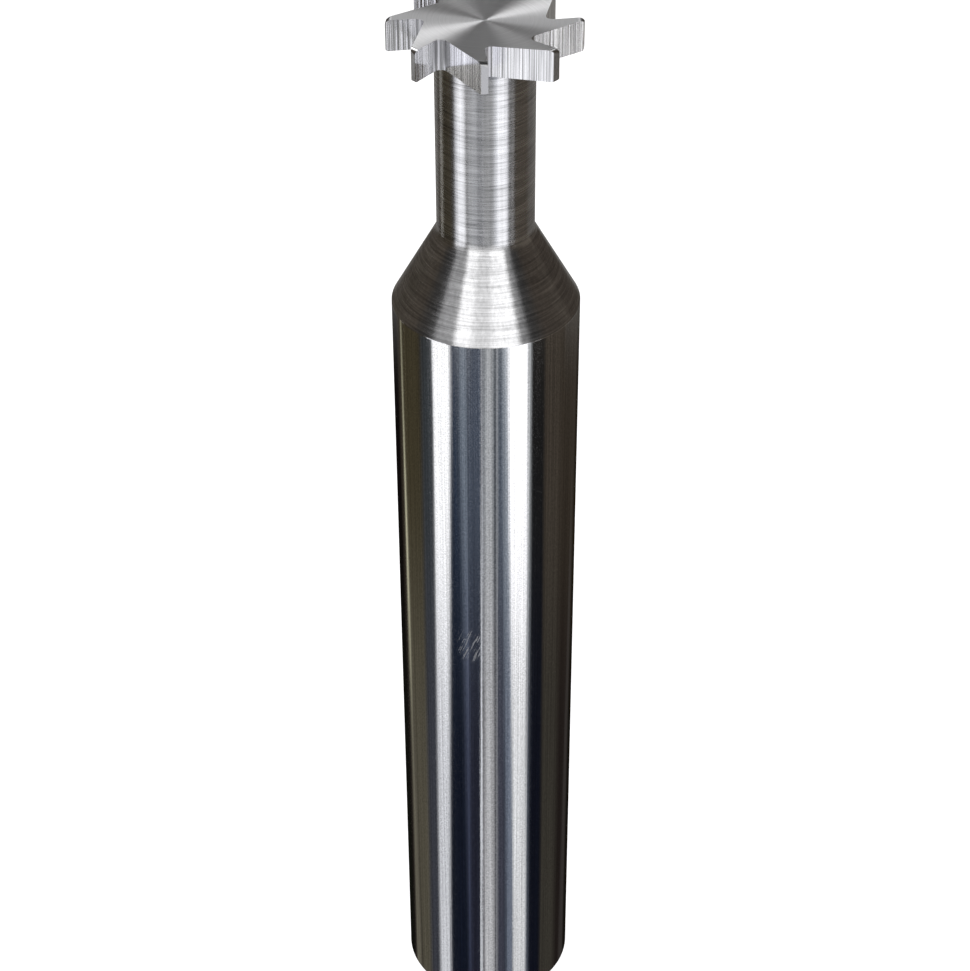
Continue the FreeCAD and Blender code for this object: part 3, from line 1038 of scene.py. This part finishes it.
# how far the side from which bearings are counted is turned from -Y
CAMERA_TURN = 1.75
HALF_TURN = 180.0
WHITE = (1.0, 1.0, 1.0, 1.0)
BLACK = (0.0, 0.0, 0.0, 1.0)


@dataclass(frozen=True)
class Studio:
    """A pale floor, a camera at the photograph's viewing angle and a dark room with bands and cards of light.

    The focal length is in pixels, of which the frame's long side has 971. The sensor and the camera's
    place are in millimetres, the clips and the floor's side in metres.
    """

    focal_pixels: float = 2414.3
    frame_long_side: int = 971
    sensor: float = 36.0
    pitch: float = 36.325
    yaw: float = 1.7
    roll: float = -0.230
    camera_place: tuple[float, float, float] = (-4.217, -138.344, 148.217)
    clips: tuple[float, float] = (0.01, 100.0)
    floor_side: float = 4.0
    floor_tone: float = 0.9
    floor_glow: float = 0.93

    def build(self) -> None:
        """Makes the floor, the room and the camera."""
        self.make_floor()
        self.make_room()
        self.make_camera()
        bpy.context.scene.view_settings.view_transform = "Standard"
        LOG.info("studio: floor, %d bands, %d cards, camera", len(BANDS), len(CARDS))

    def make_floor(self) -> None:
        """A wide pale floor that the steel doesn't mirror."""
        side = self.floor_side / 2
        mesh = bpy.data.meshes.new("floor")
        corners = [(-side, -side, 0), (side, -side, 0), (side, side, 0), (-side, side, 0)]
        mesh.from_pydata(corners, [], [(0, 1, 2, 3)])
        material = bpy.data.materials.new("pale_floor")
        material.use_nodes = True
        shader = material.node_tree.nodes["Principled BSDF"]
        shader.inputs["Base Color"].default_value = (*grey(self.floor_tone), 1.0)
        shader.inputs["Roughness"].default_value = 1.0
        shader.inputs["Specular IOR Level"].default_value = 0.0
        shader.inputs["Emission Color"].default_value = WHITE
        shader.inputs["Emission Strength"].default_value = self.floor_glow
        mesh.materials.append(material)
        floor = bpy.data.objects.new("floor", mesh)
        bpy.context.collection.objects.link(floor)
        floor.visible_glossy = False
        floor.visible_shadow = False
        floor.visible_diffuse = False

    def make_camera(self) -> None:
        """Puts the camera at the photograph's viewing angle."""
        pitch, yaw, roll = (math.radians(angle) for angle in (self.pitch, self.yaw, self.roll))
        forward = Vector((math.sin(yaw) * math.cos(pitch), math.cos(yaw) * math.cos(pitch), -math.sin(pitch)))
        right = Vector((math.cos(yaw), -math.sin(yaw), 0.0))
        up = right.cross(forward)
        level_right = right * math.cos(roll) + up * math.sin(roll)
        level_up = up * math.cos(roll) - right * math.sin(roll)
        turn = Matrix((level_right, level_up, -forward)).transposed().to_4x4()
        data = bpy.data.cameras.new("photo_camera")
        data.sensor_width = self.sensor
        data.lens = self.focal_pixels / self.frame_long_side * self.sensor
        data.clip_start, data.clip_end = self.clips
        camera = bpy.data.objects.new("photo_camera", data)
        camera.matrix_world = Matrix.Translation(Vector(self.camera_place) * MM) @ turn
        bpy.context.collection.objects.link(camera)
        bpy.context.scene.camera = camera

    def make_room(self) -> None:
        """The world: white where the camera sees it, and the room where the steel does."""
        self.build_band_group()
        self.build_card_group()
        world = bpy.data.worlds.new("studio")
        bpy.context.scene.world = world
        world.use_nodes = True
        world.node_tree.nodes.clear()
        graph = Graph(world.node_tree)
        way = graph.node("ShaderNodeTexCoord").outputs["Generated"]
        parts = graph.node("ShaderNodeSeparateXYZ", {0: way})
        back = graph.math("MULTIPLY", parts.outputs[1], -1.0)
        turn = graph.math("DEGREES", graph.math("ARCTAN2", parts.outputs[0], back))
        bearing = graph.math("ADD", turn, CAMERA_TURN)
        elevation = graph.math("DEGREES", graph.math("ARCSINE", parts.outputs[2]))
        rise = graph.ramp(elevation, *RISE_ELEVATIONS, smooth=False)
        glow = graph.ramp(elevation, *GLOW_ELEVATIONS)
        lower = self.layered(graph, "studio_band", BANDS, {"Bearing": bearing, "Rise": rise, "Glow": glow})
        upper = self.layered(graph, "studio_card", CARDS, {"Bearing": bearing, "Elevation": elevation})
        rooms = [graph.node("ShaderNodeBackground", {"Color": light, "Strength": STUDIO_STRENGTH}).outputs[0]
                 for light in (lower, upper)]
        above = graph.ramp(elevation, *HORIZON)
        room = graph.node("ShaderNodeMixShader", {0: above, 1: rooms[0], 2: rooms[1]}).outputs[0]
        white = graph.node("ShaderNodeBackground", {"Color": WHITE, "Strength": 1.0})
        seen = graph.node("ShaderNodeLightPath").outputs["Is Camera Ray"]
        mixed = graph.node("ShaderNodeMixShader", {0: seen, 1: room, 2: white.outputs[0]})
        output = graph.node("ShaderNodeOutputWorld")
        graph.feed(output.inputs["Surface"], mixed.outputs[0])

    @staticmethod
    def layered(graph: Graph, group: str, layers: Sequence[Union[Band, Card]],
                shared: dict[str, Value]) -> Value:
        """Lays bands or cards over one another.

        Args:
            graph: the world's graph.
            group: the name of their node group.
            layers: the bands or cards, the rearmost first.
            shared: what goes into every one of the groups.

        Returns:
            The light that comes from the direction looked in.
        """
        light: Value = (*BROWN, 1.0)
        for layer in layers:
            made = use_group(graph, group, {"Under": light, **shared, **layer.sockets()})
            made.label = layer.name
            light = made.outputs["Light"]
        return light

    @staticmethod
    def build_band_group() -> None:
        """The group that lays one band over the light behind it."""
        graph, entry, leave = new_group("studio_band", {
            "Under": BLACK, "Bearing": 0.0, "Rise": 0.0, "Glow": 0.0, "Left": 0.0, "Left shift": 0.0,
            "Right": 0.0, "Right shift": 0.0, "Edge": 1.0, "Low": BLACK, "High": BLACK}, {"Light": BLACK})
        left = graph.math("MULTIPLY_ADD", entry["Left shift"], entry["Rise"], entry["Left"])
        right = graph.math("MULTIPLY_ADD", entry["Right shift"], entry["Rise"], entry["Right"])
        middle = graph.math("MULTIPLY", graph.math("ADD", left, right), 0.5)
        half = graph.math("SUBTRACT", right, middle)
        away = graph.math("ABSOLUTE", graph.math("SUBTRACT", entry["Bearing"], middle))
        outer = graph.math("ADD", half, entry["Edge"])
        inner = graph.math("SUBTRACT", half, entry["Edge"])
        shade = graph.blend(entry["Glow"], entry["Low"], entry["High"])
        graph.feed(leave["Light"], graph.blend(graph.ramp(away, outer, inner), entry["Under"], shade))

    @staticmethod
    def build_card_group() -> None:
        """The group that lays one card over the light behind it."""
        graph, entry, leave = new_group("studio_card", {
            "Under": BLACK, "Bearing": 0.0, "Elevation": 0.0, "Middle": 0.0, "Half width": 0.0,
            "Centre": 0.0, "Half height": 0.0, "Edge": 1.0, "Fade": 1.0, "Colour": BLACK}, {"Light": BLACK})
        offset = graph.math("SUBTRACT", entry["Bearing"], entry["Middle"])
        away = graph.math("ABSOLUTE", graph.math("WRAP", offset, HALF_TURN, -HALF_TURN))
        aside = graph.math("ABSOLUTE", graph.math("SUBTRACT", entry["Elevation"], entry["Centre"]))
        shares = []
        for distance, half, soft in ((away, "Half width", "Edge"), (aside, "Half height", "Fade")):
            outer = graph.math("ADD", entry[half], entry[soft])
            inner = graph.math("SUBTRACT", entry[half], entry[soft])
            shares.append(graph.ramp(distance, outer, inner))
        share = graph.math("MULTIPLY", *shares)
        graph.feed(leave["Light"], graph.blend(share, entry["Under"], entry["Colour"]))


def main() -> None:
    """Builds the cutter and the studio and reports each."""
    logging.basicConfig(level=logging.INFO, format="%(name)s: %(message)s")
    Cutter().build()
    Studio().build()


if __name__ == "__main__":
    main()
